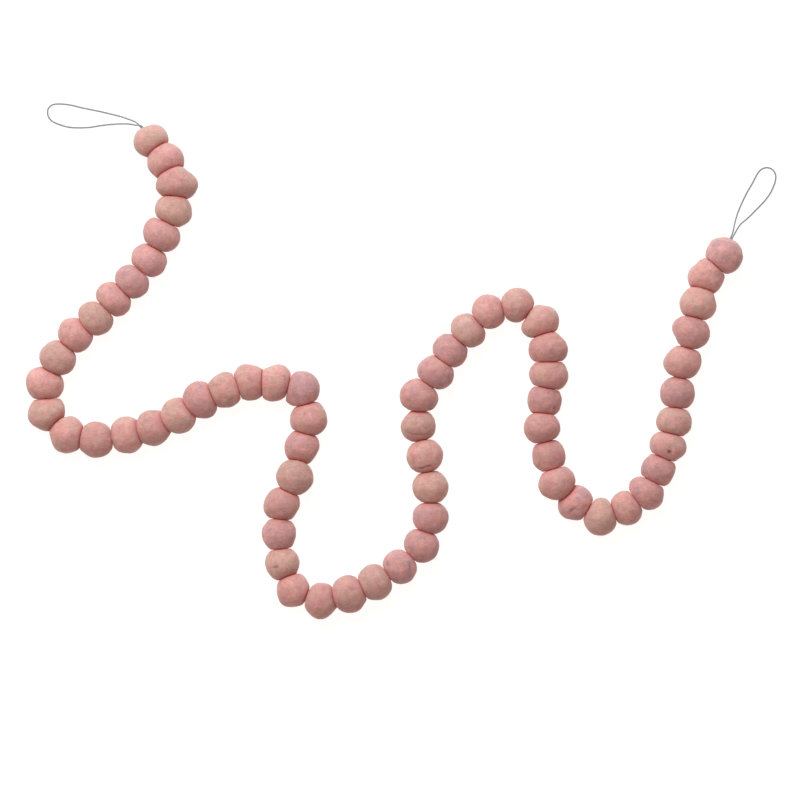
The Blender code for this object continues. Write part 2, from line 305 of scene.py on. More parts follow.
# Each loop seen from above, from one strand at the ball round to the other.
LEFT_LOOP = (
    (-186.5, 186.9),
    (-192.4, 189.4),
    (-198.4, 191.5),
    (-206.0, 193.4),
    (-213.5, 195.2),
    (-221.0, 196.7),
    (-228.5, 198.3),
    (-236.0, 200.1),
    (-243.4, 200.9),
    (-249.3, 200.3),
    (-252.4, 197.6),
    (-253.1, 194.2),
    (-252.0, 190.4),
    (-248.6, 187.3),
    (-242.0, 184.7),
    (-236.0, 183.3),
    (-228.5, 183.0),
    (-221.0, 183.4),
    (-213.5, 184.6),
    (-206.0, 185.5),
    (-198.4, 185.9),
    (-191.5, 185.7),
    (-186.6, 184.8),
)
RIGHT_LOOP = (
    (261.2, 104.6),
    (262.5, 110.8),
    (264.8, 118.6),
    (268.2, 126.8),
    (272.0, 134.6),
    (275.4, 140.3),
    (278.9, 147.0),
    (282.1, 151.4),
    (286.9, 153.1),
    (291.2, 151.4),
    (293.4, 147.4),
    (292.9, 142.0),
    (289.9, 134.8),
    (286.2, 129.4),
    (282.1, 124.8),
    (277.2, 119.8),
    (272.2, 114.9),
    (266.8, 110.2),
    (263.3, 104.8),
)


def linear(level):
    return level / 12.92 if level <= 0.04045 else ((level + 0.055) / 1.055) ** 2.4


def colour(code):
    """An sRGB hex colour as the linear red, green, blue and alpha that Blender takes."""
    return (*(linear(int(code[i : i + 2], 16) / 255) for i in (1, 3, 5)), 1.0)


def repeats(size):
    """How many times a pattern repeats in a metre, from its size in millimetres."""
    return float(round(1 / (size * MM)))


class GarlandSettings(bpy.types.PropertyGroup):
    """The sizes and colours that someone would change."""

    felt_beige: bpy.props.FloatVectorProperty(
        name="Beige Felt",
        description="Colour of the yellowest balls",
        default=colour("#C1998D"),
        size=4,
        subtype="COLOR",
    )
    felt_rose: bpy.props.FloatVectorProperty(
        name="Rose Felt",
        description="Colour that most of the balls have",
        default=colour("#C9918A"),
        size=4,
        subtype="COLOR",
    )
    felt_mauve: bpy.props.FloatVectorProperty(
        name="Mauve Felt",
        description="Colour of the bluest balls",
        default=colour("#BA8D8C"),
        size=4,
        subtype="COLOR",
    )
    # Painted shade: the colour that the wool is darkened to down in a pit or a fold.
    pit_shade_colour: bpy.props.FloatVectorProperty(
        name="Deep Felt",
        description="Colour of the wool down in a pit or a fold",
        default=colour("#743F38"),
        size=4,
        subtype="COLOR",
    )
    # Painted shade: the darker, warmer colour painted along the seam between two pressed
    # balls.
    seam_shade_colour: bpy.props.FloatVectorProperty(
        name="Seam Felt",
        description="Colour of the wool where two balls press against each other",
        default=colour("#CB7F78"),
        size=4,
        subtype="COLOR",
    )
    cotton: bpy.props.FloatVectorProperty(
        name="Cotton",
        description="Colour of the string",
        default=colour("#878889"),
        size=4,
        subtype="COLOR",
    )
    string_width: bpy.props.FloatProperty(
        name="String Width",
        description="Thickness of the loops' string with the loose hairs round it",
        default=1.2 * STRING_WIDTH * MM,
        unit="LENGTH",
    )
    edge_softness: bpy.props.FloatProperty(
        name="Edge Softness",
        description="Width over which a ball rounds off into the face against its neighbour",
        default=1.5 * MM,
        unit="LENGTH",
    )
    fibres_per_ball: bpy.props.IntProperty(
        name="Fibres per Ball",
        description="Loose wool fibres that stand off each ball",
        default=120,
    )
    fibre_length: bpy.props.FloatProperty(
        name="Fibre Length",
        description="Length of the longest loose fibre",
        default=4.5 * MM,
        unit="LENGTH",
    )
    floor: bpy.props.FloatVectorProperty(
        name="Floor",
        description="Colour that the table glows in",
        default=colour("#F9F8F6"),
        size=4,
        subtype="COLOR",
    )
    floor_glow: bpy.props.FloatProperty(
        name="Floor Glow",
        description="How brightly the table is lit from below",
        default=1.0,
    )


# Nearly all of a noise's values lie between these two.
FROM_NOISE = {"From Min": 0.3, "From Max": 0.7}

# A Mix node's sockets share their names, so the two colours that go in and the one that
# comes out are reached by number.
MIX_FIRST = 6
MIX_SECOND = 7
MIX_RESULT = 2


def add_node(tree, kind, settings=None, links=None):
    """Adds a node. settings names its properties and sockets, links its inputs."""
    node = tree.nodes.new(kind)
    for key, value in (settings or {}).items():
        if isinstance(key, str) and hasattr(node, key):
            setattr(node, key, value)
        else:
            node.inputs[key].default_value = value
    for key, source in (links or {}).items():
        tree.links.new(source, node.inputs[key])
    return node


def new_material(name):
    """An empty material, with its tree and its output."""
    material = bpy.data.materials.new(name)
    material.use_nodes = True
    material.node_tree.nodes.clear()
    output = add_node(material.node_tree, "ShaderNodeOutputMaterial")
    return material, material.node_tree, output


def felted_wool(settings):
    """Wool felted wet and rolled by hand into a ball.

    The scales of the fibres shrink into one matt skin. It shows as a soft mottle a
    few millimetres wide, where tufts of slightly different wool met, as fine fibre
    swirls on top of it, and as short creases where the skin folded as it shrank.
    Fibres are about 0.03 mm thick, so they are drawn ten times coarser to show.
    """
    material, tree, output = new_material("felted_wool_pink")
    place = add_node(tree, "ShaderNodeTexCoord").outputs["Object"]
    # The wool drifts by up to 7 mm, so that no pattern in it lies straight.
    drift = add_node(
        tree,
        "ShaderNodeTexNoise",
        {"Scale": repeats(9.1), "Detail": 1.0},
        {"Vector": place},
    )
    swirled = add_node(
        tree,
        "ShaderNodeVectorMath",
        {"operation": "MULTIPLY_ADD", 1: (7 * MM, 7 * MM, 7 * MM)},
        {0: drift.outputs["Color"], 2: place},
    ).outputs[0]

    # One tint for each ball, moved about by the mottle.
    tint = add_node(tree, "ShaderNodeAttribute", {"attribute_name": "tint"})
    mottle = add_node(
        tree,
        "ShaderNodeTexNoise",
        {"Scale": repeats(7.7), "Detail": 3.0, "Roughness": 0.55},
        {"Vector": swirled},
    )
    spread = add_node(
        tree,
        "ShaderNodeMapRange",
        {**FROM_NOISE, "To Min": -0.45, "To Max": 0.45},
        {"Value": mottle.outputs["Fac"]},
    )
    shade = add_node(
        tree,
        "ShaderNodeMath",
        {"operation": "ADD", "use_clamp": True},
        {0: tint.outputs["Fac"], 1: spread.outputs["Result"]},
    )
    ramp = add_node(tree, "ShaderNodeValToRGB", None, {"Fac": shade.outputs[0]})
    stops = ramp.color_ramp.elements
    stops[0].color = settings.felt_beige
    stops[1].color = settings.felt_mauve
    stops.new(0.5).color = settings.felt_rose

    # Fibre swirls, lying one way in some patches and another way in others. They are
    # streaks, so their pattern is six times longer than it is wide.
    streak = (repeats(3.85), repeats(2 / 3), repeats(2 / 3))
    swirls = []
    for turn in ((0.4, 0.2, 0.7), (1.3, 0.5, 2.2)):
        mapped = add_node(
            tree,
            "ShaderNodeMapping",
            {"Rotation": turn, "Scale": streak},
            {"Vector": swirled},
        )
        swirl = add_node(
            tree,
            "ShaderNodeTexNoise",
            {"Scale": 1.0, "Detail": 2.0, "Roughness": 0.6, "Distortion": 0.6},
            {"Vector": mapped.outputs[0]},
        )
        swirls.append(swirl.outputs["Fac"])
    patches = add_node(
        tree,
        "ShaderNodeTexNoise",
        {"Scale": repeats(10.5), "Detail": 0.0},
        {"Vector": place},
    )
    which = add_node(
        tree,
        "ShaderNodeMapRange",
        {"From Min": 0.42, "From Max": 0.58},
        {"Value": patches.outputs["Fac"]},
    )
    fibres = add_node(
        tree,
        "ShaderNodeMix",
        None,
        {0: which.outputs["Result"], 2: swirls[0], 3: swirls[1]},
    ).outputs[0]

    # Short creases, along the lines where one noise passes through its middle.
    folds = add_node(
        tree,
        "ShaderNodeTexNoise",
        {"Scale": repeats(6.67), "Detail": 1.5, "Distortion": 0.8},
        {"Vector": swirled},
    )
    off_line = add_node(
        tree,
        "ShaderNodeMath",
        {"operation": "SUBTRACT", 1: 0.5},
        {0: folds.outputs["Fac"]},
    )
    from_line = add_node(
        tree, "ShaderNodeMath", {"operation": "ABSOLUTE"}, {0: off_line.outputs[0]}
    )
    line = add_node(
        tree,
        "ShaderNodeMapRange",
        {"From Min": 0.0, "From Max": 0.03, "To Min": 1.0, "To Max": 0.0},
        {"Value": from_line.outputs[0]},
    )
    where = add_node(
        tree,
        "ShaderNodeTexNoise",
        {"Scale": repeats(5.88), "Detail": 0.0},
        {"Vector": place},
    )
    present = add_node(
        tree,
        "ShaderNodeMapRange",
        {"From Min": 0.52, "From Max": 0.66},
        {"Value": where.outputs["Fac"]},
    )
    crease = add_node(
        tree,
        "ShaderNodeMath",
        {"operation": "MULTIPLY"},
        {0: line.outputs["Result"], 1: present.outputs["Result"]},
    ).outputs[0]

    # The fibres are lighter and darker, each crease has a shadow in it, and soft clouds
    # and the ball's own shade go over both.
    light_and_dark = add_node(
        tree,
        "ShaderNodeMapRange",
        {**FROM_NOISE, "To Min": 0.82, "To Max": 1.14},
        {"Value": fibres},
    )
    creased = add_node(
        tree,
        "ShaderNodeMath",
        {"operation": "MULTIPLY_ADD", 1: -0.15},
        {0: crease, 2: light_and_dark.outputs["Result"]},
    )
    clouds = add_node(
        tree,
        "ShaderNodeTexNoise",
        {"Scale": repeats(4.76), "Detail": 2.0, "Roughness": 0.5},
        {"Vector": swirled},
    )
    clouded = add_node(
        tree,
        "ShaderNodeMapRange",
        {**FROM_NOISE, "To Min": 0.9, "To Max": 1.1},
        {"Value": clouds.outputs["Fac"]},
    )
    own_shade = add_node(tree, "ShaderNodeAttribute", {"attribute_name": "shade"})
    lightness = add_node(
        tree,
        "ShaderNodeMath",
        {"operation": "MULTIPLY"},
        {0: clouded.outputs["Result"], 1: own_shade.outputs["Fac"]},
    )
    worked = add_node(
        tree,
        "ShaderNodeMath",
        {"operation": "MULTIPLY"},
        {0: creased.outputs[0], 1: lightness.outputs[0]},
    )
    wool = add_node(
        tree,
        "ShaderNodeVectorMath",
        {"operation": "SCALE"},
        {0: ramp.outputs["Color"], "Scale": worked.outputs[0]},
    )

    # Down in a pit or a fold, the wool's own shadow is painted into its colour as a painted
    # shade.
    pressed = add_node(tree, "ShaderNodeAttribute", {"attribute_name": "pressed"})
    pitted = add_node(
        tree,
        "ShaderNodeMix",
        {"data_type": "RGBA", MIX_SECOND: tuple(settings.pit_shade_colour)},
        {0: pressed.outputs["Fac"], MIX_FIRST: wool.outputs[0]},
    )
    # Where two balls press, a painted shade darkens and warms the wool near the face against
    # the neighbour. It stands for the shadow down in the seam between them.
    seam = add_node(tree, "ShaderNodeAttribute", {"attribute_name": "seam"})
    base = add_node(
        tree,
        "ShaderNodeMix",
        {"data_type": "RGBA", MIX_SECOND: tuple(settings.seam_shade_colour)},
        {0: seam.outputs["Fac"], MIX_FIRST: pitted.outputs[MIX_RESULT]},
    )

    # Low lumps with the fibres raised and the creases sunk, under a fine nap.
    lumps = add_node(
        tree,
        "ShaderNodeTexNoise",
        {"Scale": repeats(3.03), "Detail": 2.0},
        {"Vector": swirled},
    )
    raised_fibres = add_node(
        tree,
        "ShaderNodeMath",
        {"operation": "MULTIPLY_ADD", 1: 0.55},
        {0: fibres, 2: lumps.outputs["Fac"]},
    )
    height = add_node(
        tree,
        "ShaderNodeMath",
        {"operation": "MULTIPLY_ADD", 1: -0.4},
        {0: crease, 2: raised_fibres.outputs[0]},
    )
    relief = add_node(
        tree,
        "ShaderNodeBump",
        {"Strength": 0.7, "Distance": 0.5 * MM},
        {"Height": height.outputs[0]},
    )
    nap = add_node(
        tree,
        "ShaderNodeTexNoise",
        {"Scale": repeats(0.3846), "Detail": 1.0},
        {"Vector": place},
    )
    skin = add_node(
        tree,
        "ShaderNodeBump",
        {"Strength": 0.35, "Distance": 0.15 * MM},
        {"Height": nap.outputs["Fac"], "Normal": relief.outputs[0]},
    )
    shader = add_node(
        tree,
        "ShaderNodeBsdfPrincipled",
        {
            "Roughness": 0.95,
            "Specular IOR Level": 0.15,
            "Subsurface Weight": 0.15,
            "Subsurface Radius": (1.0, 0.45, 0.35),
            "Subsurface Scale": 1.5 * MM,
            "Sheen Weight": 0.3,
            "Sheen Roughness": 0.5,
            "Sheen Tint": colour("#FFF4F0"),
        },
        {"Base Color": base.outputs[MIX_RESULT], "Normal": skin.outputs[0]},
    )
    tree.links.new(shader.outputs[0], output.inputs["Surface"])
    return material


def loose_wool(settings):
    """Single wool fibres that the felting left free.

    Each is a pale curl that catches light along its edge. They are drawn 0.05 mm
    thick, about twice their real thickness, so that they show.
    """
    material, tree, output = new_material("loose_wool_fibre")
    place = add_node(tree, "ShaderNodeTexCoord").outputs["Object"]
    spread = add_node(
        tree,
        "ShaderNodeTexNoise",
        {"Scale": repeats(5.0), "Detail": 0.0},
        {"Vector": place},
    )
    ramp = add_node(tree, "ShaderNodeValToRGB", None, {"Fac": spread.outputs["Fac"]})
    ramp.color_ramp.elements[0].position = 0.35
    ramp.color_ramp.elements[0].color = settings.felt_rose
    ramp.color_ramp.elements[1].position = 0.65
    ramp.color_ramp.elements[1].color = colour("#E0B5A8")
    shader = add_node(
        tree,
        "ShaderNodeBsdfPrincipled",
        {"Roughness": 0.8, "Specular IOR Level": 0.3, "Sheen Weight": 0.2},
        {"Base Color": ramp.outputs["Color"]},
    )
    tree.links.new(shader.outputs[0], output.inputs["Surface"])
    return material


def twisted_cotton(settings):
    """Grey cotton yarn, three plies twisted together and left unwaxed.

    It is matt, and its plies show as slanting ridges, which are in the mesh. The
    material adds the fine hairs along each ply.
    """
    material, tree, output = new_material("twisted_cotton_string")
    place = add_node(tree, "ShaderNodeTexCoord").outputs["Object"]
    hairs = add_node(
        tree,
        "ShaderNodeTexNoise",
        {"Scale": repeats(0.2381), "Detail": 2.0, "Distortion": 0.4},
        {"Vector": place},
    )
    worn = add_node(
        tree,
        "ShaderNodeMapRange",
        {**FROM_NOISE, "To Min": 0.84, "To Max": 1.08},
        {"Value": hairs.outputs["Fac"]},
    )
    yarn = add_node(
        tree,
        "ShaderNodeVectorMath",
        {"operation": "SCALE", 0: tuple(settings.cotton)[:3]},
        {"Scale": worn.outputs["Result"]},
    )
    relief = add_node(
        tree,
        "ShaderNodeBump",
        {"Strength": 0.5, "Distance": 0.1 * MM},
        {"Height": hairs.outputs["Fac"]},
    )
    shader = add_node(
        tree,
        "ShaderNodeBsdfPrincipled",
        {"Roughness": 0.85, "Specular IOR Level": 0.3, "Sheen Weight": 0.1},
        {"Base Color": yarn.outputs[0], "Normal": relief.outputs[0]},
    )
    tree.links.new(shader.outputs[0], output.inputs["Surface"])
    return material


def opal_table(settings):
    """A sheet of opal acrylic lit from below, as a photographer's light table is.

    It glows evenly, so what lies on it throws next to no shadow.
    """
    material, tree, output = new_material("opal_acrylic_lit")
    shader = add_node(
        tree,
        "ShaderNodeBsdfPrincipled",
        {
            "Base Color": colour("#6E6D6C"),
            "Roughness": 0.9,
            "Specular IOR Level": 0.2,
            "Emission Color": tuple(settings.floor),
            "Emission Strength": settings.floor_glow,
        },
    )
    tree.links.new(shader.outputs[0], output.inputs["Surface"])
    return material


def ball_middle(number):
    """The middle of a ball, at half its height above its flat spot."""
    ball = BALLS[number - 1]
    height = ball.across / 2 * ROUNDNESS - FLAT_SPOT_DEPTH
    return Vector((ball.x, ball.y, height))


MIDDLES = {number: ball_middle(number) for number in range(1, LAST + 1)}


def raised(mouth, number):
    """A loop's mouth, on the level of its ball's middle."""
    return Vector((mouth.x, mouth.y, MIDDLES[number].z))


def face_after(number):
    """The middle of the face that a ball has towards the next one."""
    if number == 0:
        return raised(LEFT_MOUTH, 1)
    if number == LAST:
        return raised(RIGHT_MOUTH, LAST)
    return (MIDDLES[number] + MIDDLES[number + 1]) / 2


def pair_start(number):
    """The first ball of the pressed pair that a ball is in, or None."""
    for first in PRESSED_PAIRS:
        if number in (first, first + 1):
            return first
    return None


def node_of(number):
    """The name of the solid that holds a ball."""
    first = pair_start(number)
    return f"ball_{number:02d}" if first is None else f"balls_{first:02d}_{first + 1:02d}"


# One side of a ball: the way its string runs outwards there, which way is up square
# to that, how far its face is from the middle and how much further for each
# millimetre upwards, and that face's half width.
Side = namedtuple("Side", "outwards up apart slope half_seam is_end")


def side_of(number, seam_number):
    """The side that a ball has at one of its two seams."""
    reach = face_after(seam_number) - MIDDLES[number]
    outwards = reach.normalized()
    up = (UP - outwards * outwards.z).normalized()
    if seam_number in (0, LAST):
        return Side(outwards, up, reach.length - GAP / 2, 0.0, LOOP_MOUTH_WIDTH / 2, True)
    ball = BALLS[seam_number - 1]
    slope = ball.lean / (ball.seam / 2 * ROUNDNESS)
    if seam_number == number:
        slope = -slope
    return Side(outwards, up, reach.length - PRESSED_GAP, slope, ball.seam / 2, False)


def flattened(from_string):
    """How much narrower a ball is in a direction, because it is lower than wide."""
    return 1 - (1 - ROUNDNESS) * from_string.z**2


def round_the_string(along, turn):
    """A direction square to the string, turned round it from its side."""
    side = UP.cross(along).normalized()
    return side * math.cos(turn) + along.cross(side) * math.sin(turn)


def any_way(chance):
    """A direction that is as likely as any other."""
    return Vector([chance.gauss(0, 1) for _ in range(3)]).normalized()


def soft_minimum(a, b, width):
    """The smaller of two lengths, rounded where they are nearly equal."""
    near = max(width - abs(a - b), 0.0) / width
    return min(a, b) - near * near * width / 4


class FeltBall:
    """The shape of one ball: how far its skin is from its middle, whichever way."""

    def __init__(self, number, softness):
        self.number = number
        self.middle = MIDDLES[number]
        self.half_width = BALLS[number - 1].across / 2
        self.softness = softness
        self.behind = side_of(number, number - 1)
        self.ahead = side_of(number, number)
        self.string_way = (self.ahead.outwards - self.behind.outwards).normalized()
        self.dents = self.small_dents()
        self.bulges = [row for row in BULGES if row.ball == number]
        self.marks = [self.placed(row) for row in MARKS if row.ball == number]

    def small_dents(self):
        """Shallow dents where fingers rolled the ball while it was wet."""
        chance = random.Random(DENT_SEED + self.number)
        found = []
        for _ in range(DENTS):
            way = any_way(chance)
            radius = chance.uniform(*DENT_RADII)
            found.append((way, radius, chance.uniform(*DENT_DEPTHS)))
        for side in (self.behind, self.ahead):
            if side.is_end:
                found.append((side.outwards, *MOUTH_DENT))
        return found

    def placed(self, mark):
        """A mark with the direction it lies in and the two ways that it is measured."""
        height = math.sqrt(self.half_width**2 - mark.x**2 - mark.y**2) * ROUNDNESS
        way = Vector((mark.x, mark.y, height)).normalized()
        heading = math.radians(mark.heading)
        across = way.cross((math.cos(heading), math.sin(heading), 0.0)).normalized()
        return mark, way, across.cross(way), across

    def darkness(self, way, reach):
        """How dark the painted shade is in a pit or fold, and how deep that presses the
        skin.

        A mark's darkness falls off softly across it, and late along it, so that it has
        blunt ends.
        """
        dark = depth = 0.0
        for mark, centre, along, across in self.marks:
            if way.dot(centre) > MARK_FACING:
                run = (way.dot(along) * reach / (mark.length / 2)) ** 4
                inside = math.exp(-run - (way.dot(across) * reach / (mark.width / 2)) ** 2)
                dark = max(dark, mark.dark * inside)
                depth += mark.depth * inside
        return dark, depth

    def closeness(self, way, reach):
        """How close the skin is to a neighbour's there, from 0 to 1."""
        close = 0.0
        for side in (self.behind, self.ahead):
            if not side.is_end:
                away = side.apart - reach * way.dot(side.outwards - side.up * side.slope)
                close = max(close, math.exp(-((max(away, 0.0) / SEAM_REACH) ** 2)))
        return close

    def rim_at(self, side, from_string):
        """How far a face's rim is from the string, and how far out along it."""
        half_seam = side.half_seam * flattened(from_string)
        return half_seam, side.apart + side.slope * half_seam * from_string.dot(side.up)

    def way_at(self, polar, turn):
        """A direction from the middle, for a point of a sphere whose poles are at 0 and pi.

        The sphere's rings lie round the string. One of them is made to fall on each
        face's rim, and they lie closest together there.
        """
        side, sign = (self.ahead, 1) if polar <= math.pi / 2 else (self.behind, -1)
        ring = min(polar, math.pi - polar) / (math.pi / 2) * (ROUND_RINGS + FACE_RINGS)
        from_string = round_the_string(side.outwards * sign, turn)
        half_seam, apart = self.rim_at(side, from_string)
        rim = (from_string * half_seam + side.outwards * apart).normalized()
        if ring < FACE_RINGS:
            return side.outwards.slerp(rim, ring / FACE_RINGS)
        share = ((ring - FACE_RINGS) / ROUND_RINGS) ** RING_CROWDING
        return rim.slerp(round_the_string(self.string_way, turn), share)

    def face_limit(self, way, side):
        """How far a face lets the ball reach in a direction, or None."""
        along = way.dot(side.outwards - side.up * side.slope)
        return None if side.is_end or along < LEAST_FACING else side.apart / along

    def round_body(self, way, side, sign):
        """The skin before its neighbours flatten it, through its widest ring and rim."""
        from_string = way - side.outwards * way.dot(side.outwards)
        if from_string.length < 1e-6:
            from_string = side.up.copy()
        from_string.normalize()
        half_seam, apart = self.rim_at(side, from_string)
        half_width = self.half_width * flattened(from_string)
        turn = way.angle(side.outwards)
        rim = math.atan2(half_seam, apart)
        limit = self.face_limit(way, side)
        if turn < rim and limit:
            return limit * (1 + FACE_CLEARANCE * (rim - turn))
        outwards = self.string_way * sign
        widest = math.atan2(side.outwards.dot(outwards), -from_string.dot(outwards))
        share = max(widest - turn, 0.0) / (widest - rim)
        latitude = min(share * (math.pi / 2 - rim), math.pi / 2)
        polar = apart / math.sqrt(1 - (half_seam / half_width) ** 2)
        return (
            (math.sin(latitude) / polar) ** 2 + (math.cos(latitude) / half_width) ** 2
        ) ** -0.5

    def uneven(self, reach, way):
        """Lumps as the solid has them, small ones on top of them, and the dents."""
        place = self.middle + way * reach
        reach *= 1 + UNEVENNESS * noise.noise(place / LUMP_SIZE)
        reach += sum(out * noise.noise(place / size) for out, size in SMALL_LUMPS)
        for centre, radius, depth in self.dents:
            apart = (way - centre).length * reach / radius
            if apart < DENT_REACH:
                reach -= depth * math.exp(-apart * apart)
        for bulge in self.bulges:
            heading = math.radians(bulge.heading)
            off = way.angle((math.cos(heading), math.sin(heading), 0.0)) / BULGE_REACH
            reach += bulge.out * math.exp(-off * off)
        return reach - self.darkness(way, reach)[1]

    def reach(self, way):
        """How far the skin is from the middle, in a direction given as a unit vector."""
        ahead = way.dot(self.string_way) >= 0
        side, sign = (self.ahead, 1) if ahead else (self.behind, -1)
        reach = self.uneven(self.round_body(way, side, sign), way)
        for pressed_side in (self.behind, self.ahead):
            limit = self.face_limit(way, pressed_side)
            if limit:
                reach = soft_minimum(reach, limit, self.softness)
        if way.z < -LEAST_FACING:
            reach = soft_minimum(reach, self.middle.z / -way.z, self.softness)
        return reach


def make_object(name, mesh, material, node):
    """Puts a finished mesh into the scene, standing for a solid and riding with it."""
    mesh.materials.append(material)
    obj = bpy.data.objects.new(name, mesh)
    bpy.context.scene.collection.objects.link(obj)
    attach(obj, "root")
    if node:
        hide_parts(node)
    return obj


def tint_of(number):
    """Where a ball's wool lies between beige and mauve, and how light it is."""
    chance = random.Random(TINT_SEED + number)
    shade = chance.uniform(*SHADES)
    for tint, numbers in TINTS:
        if number in numbers:
            return tint, shade
    return chance.choice(OTHER_TINTS), shade


def make_ball(number, settings, material):
    """Shapes a fine sphere into one felt ball, its rings lying round the string."""
    shape = FeltBall(number, settings.edge_softness / MM)
    bm = bmesh.new()
    rings = 2 * (ROUND_RINGS + FACE_RINGS)
    bmesh.ops.create_uvsphere(bm, u_segments=RING_POINTS, v_segments=rings, radius=1.0)
    dark = []
    close = []
    for vert in bm.verts:
        polar = vert.co.angle(UP)
        way = shape.way_at(polar, math.atan2(vert.co.y, vert.co.x)).normalized()
        reach = shape.reach(way)
        dark.append(shape.darkness(way, reach)[0])
        close.append(shape.closeness(way, reach))
        vert.co = (shape.middle + way * reach) * MM
    bmesh.ops.recalc_face_normals(bm, faces=bm.faces[:])
    mesh = bpy.data.meshes.new(f"felt_ball_{number:02d}")
    bm.to_mesh(mesh)
    bm.free()
    mesh.shade_smooth()
    tint, shade = tint_of(number)
    for name, values in (
        ("tint", [tint] * len(dark)),
        ("shade", [shade] * len(dark)),
        ("pressed", dark),
        ("seam", close),
    ):
        mesh.attributes.new(name, "FLOAT", "POINT").data.foreach_set("value", values)
    ball = make_object(mesh.name, mesh, material, node_of(number))


# A loose fibre: its length against the longest one's, how high it rises and how far it
# curls against its own length, and the places along it where it has a point.
FIBRE_LENGTHS = (0.35, 1.0)
FIBRE_RISES = (0.06, 0.1, 0.16, 0.32)
FIBRE_CURLS = (-0.5, 0.5)
FIBRE_PLACES = (0.0, 0.33, 0.67, 1.0)
FIBRE_ARCH = 2.2  # the part of a sine wave that it rises along, in radians
FIBRE_ROOT = 0.08  # how deep in the skin it starts
FIBRE_HALF_WIDTH = 0.025
FIBRE_TIP = 0.5  # the tip's width against the rest
NEAREST_RIM = 2.0  # where a fibre may start, from the rim of a face
LOWEST_START = 1.5
LOWEST_POINT = 0.5
FUZZ_BALLS = 13  # neighbouring balls whose fibres are one piece


def fibre(shape, chance, longest):
    """The points of one loose fibre, or None where a neighbour or the table is."""
    way = any_way(chance)
    for side in (shape.behind, shape.ahead):
        along = way.dot(side.outwards)
        if along > 0 and not side.is_end:
            away = math.sqrt(1 - along * along) * shape.half_width
            if away < side.half_seam + NEAREST_RIM:
                return None
    start = shape.reach(way)
    if shape.middle.z + way.z * start < LOWEST_START:
        return None
    sideways = way.orthogonal().normalized()
    sideways.rotate(Matrix.Rotation(chance.uniform(0, math.tau), 3, way))
    length = longest * chance.uniform(*FIBRE_LENGTHS)
    rise = length * chance.choice(FIBRE_RISES)
    curl = chance.uniform(*FIBRE_CURLS)
    points = []
    for share in FIBRE_PLACES:
        step = sideways * (share * length / start)
        bend = way.cross(sideways) * (curl * share**2 * length / start)
        onward = (way + step + bend).normalized()
        height = rise * math.sin(share * FIBRE_ARCH) - FIBRE_ROOT
        point = shape.middle + onward * (shape.reach(onward) + height)
        if point.z < LOWEST_POINT:
            return None
        points.append(point * MM)
    return points


def make_fuzz(name, numbers, settings, material):
    """The loose fibres of some neighbouring balls, as fine closed tubes."""
    curve = bpy.data.curves.new(name, "CURVE")
    curve.dimensions = "3D"
    curve.bevel_depth = FIBRE_HALF_WIDTH * MM
    curve.bevel_resolution = 0
    curve.use_fill_caps = True
    count = settings.fibres_per_ball // 1
    for number in numbers:
        shape = FeltBall(number, settings.edge_softness / MM)
        chance = random.Random(FUZZ_SEED + number)
        for _ in range(count):
            points = fibre(shape, chance, settings.fibre_length / MM)
            if points is None:
                continue
            spline = curve.splines.new("POLY")
            spline.points.add(len(points) - 1)
            for target, point in zip(spline.points, points):
                target.co = (*point, 1.0)
            spline.points[-1].radius = FIBRE_TIP
    make_object(name, mesh_of(curve), material, None)


def mesh_of(curve):
    """A curve's tubes as a mesh of the same name. The curve is removed."""
    name = curve.name
    carrier = bpy.data.objects.new(name + "_curve", curve)
    bpy.context.scene.collection.objects.link(carrier)
    graph = bpy.context.evaluated_depsgraph_get()
    mesh = bpy.data.meshes.new_from_object(carrier.evaluated_get(graph))
    mesh.name = name
    bpy.data.objects.remove(carrier)
    bpy.data.curves.remove(curve)
    return mesh


def on_curve(points, position):
    """A point of the smooth curve that passes through all the points."""
    start = min(int(position), len(points) - 2)
    share = position - start
    a = points[max(start - 1, 0)]
    b = points[start]
    c = points[start + 1]
    d = points[min(start + 2, len(points) - 1)]
    bend = (2 * a - 5 * b + 4 * c - d) * share + (3 * b - a - 3 * c + d) * share**2
    return b + (c - a + bend) * (share / 2)


def evenly_spaced(points, step):
    """Points about one step apart along the smooth curve through the given ones."""
    steps = (len(points) - 1) * CURVE_STEPS
    dense = [on_curve(points, i / CURVE_STEPS) for i in range(steps + 1)]
    travelled = [0.0]
    for a, b in zip(dense, dense[1:]):
        travelled.append(travelled[-1] + (b - a).length)
    count = round(travelled[-1] / step)
    chosen = []
    place = 0
    for i in range(count + 1):
        goal = travelled[-1] * i / count
        while place < len(dense) - 1 and travelled[place] < goal:
            place += 1
        chosen.append(dense[place])
    return chosen


def fallen(height, distance):
    """How high a loop's string is at a distance from its ball's mouth."""
    share = min(distance / LOOP_FALL, 1.0)
    return LOOP_RESTING + (height - LOOP_RESTING) * (1 - share) ** 2 * (1 + 2 * share)


def loop_route(ball_number, mouth, plan, half_width):
    """A loop's route: out of the ball, down to the table, round and back in."""
    middle = MIDDLES[ball_number]
    mouth = raised(mouth, ball_number)
    outwards = (mouth - middle).normalized()
    side = UP.cross(outwards) * STRAND_OFFSET
    if (Vector((*plan[0], mouth.z)) - mouth).dot(side) < 0:
        side = -side
    start = middle + outwards * GAP
    halfway = (start + mouth) / 2
    clear = mouth + outwards
    points = [Vector((*place, 0.0)) for place in plan]
    for point in points:
        distance = (point.to_2d() - mouth.to_2d()).length
        point.z = fallen(mouth.z, distance)
    way_out = [start + side, halfway + side, mouth + side, clear + side]
    way_in = [clear - side, mouth - side, halfway - side, start - side]
    route = evenly_spaced(way_out + points + way_in, LOOP_POINT_STEP)
    for point in route:
        point.z = max(point.z, half_width * PLY_REACH)
    return route


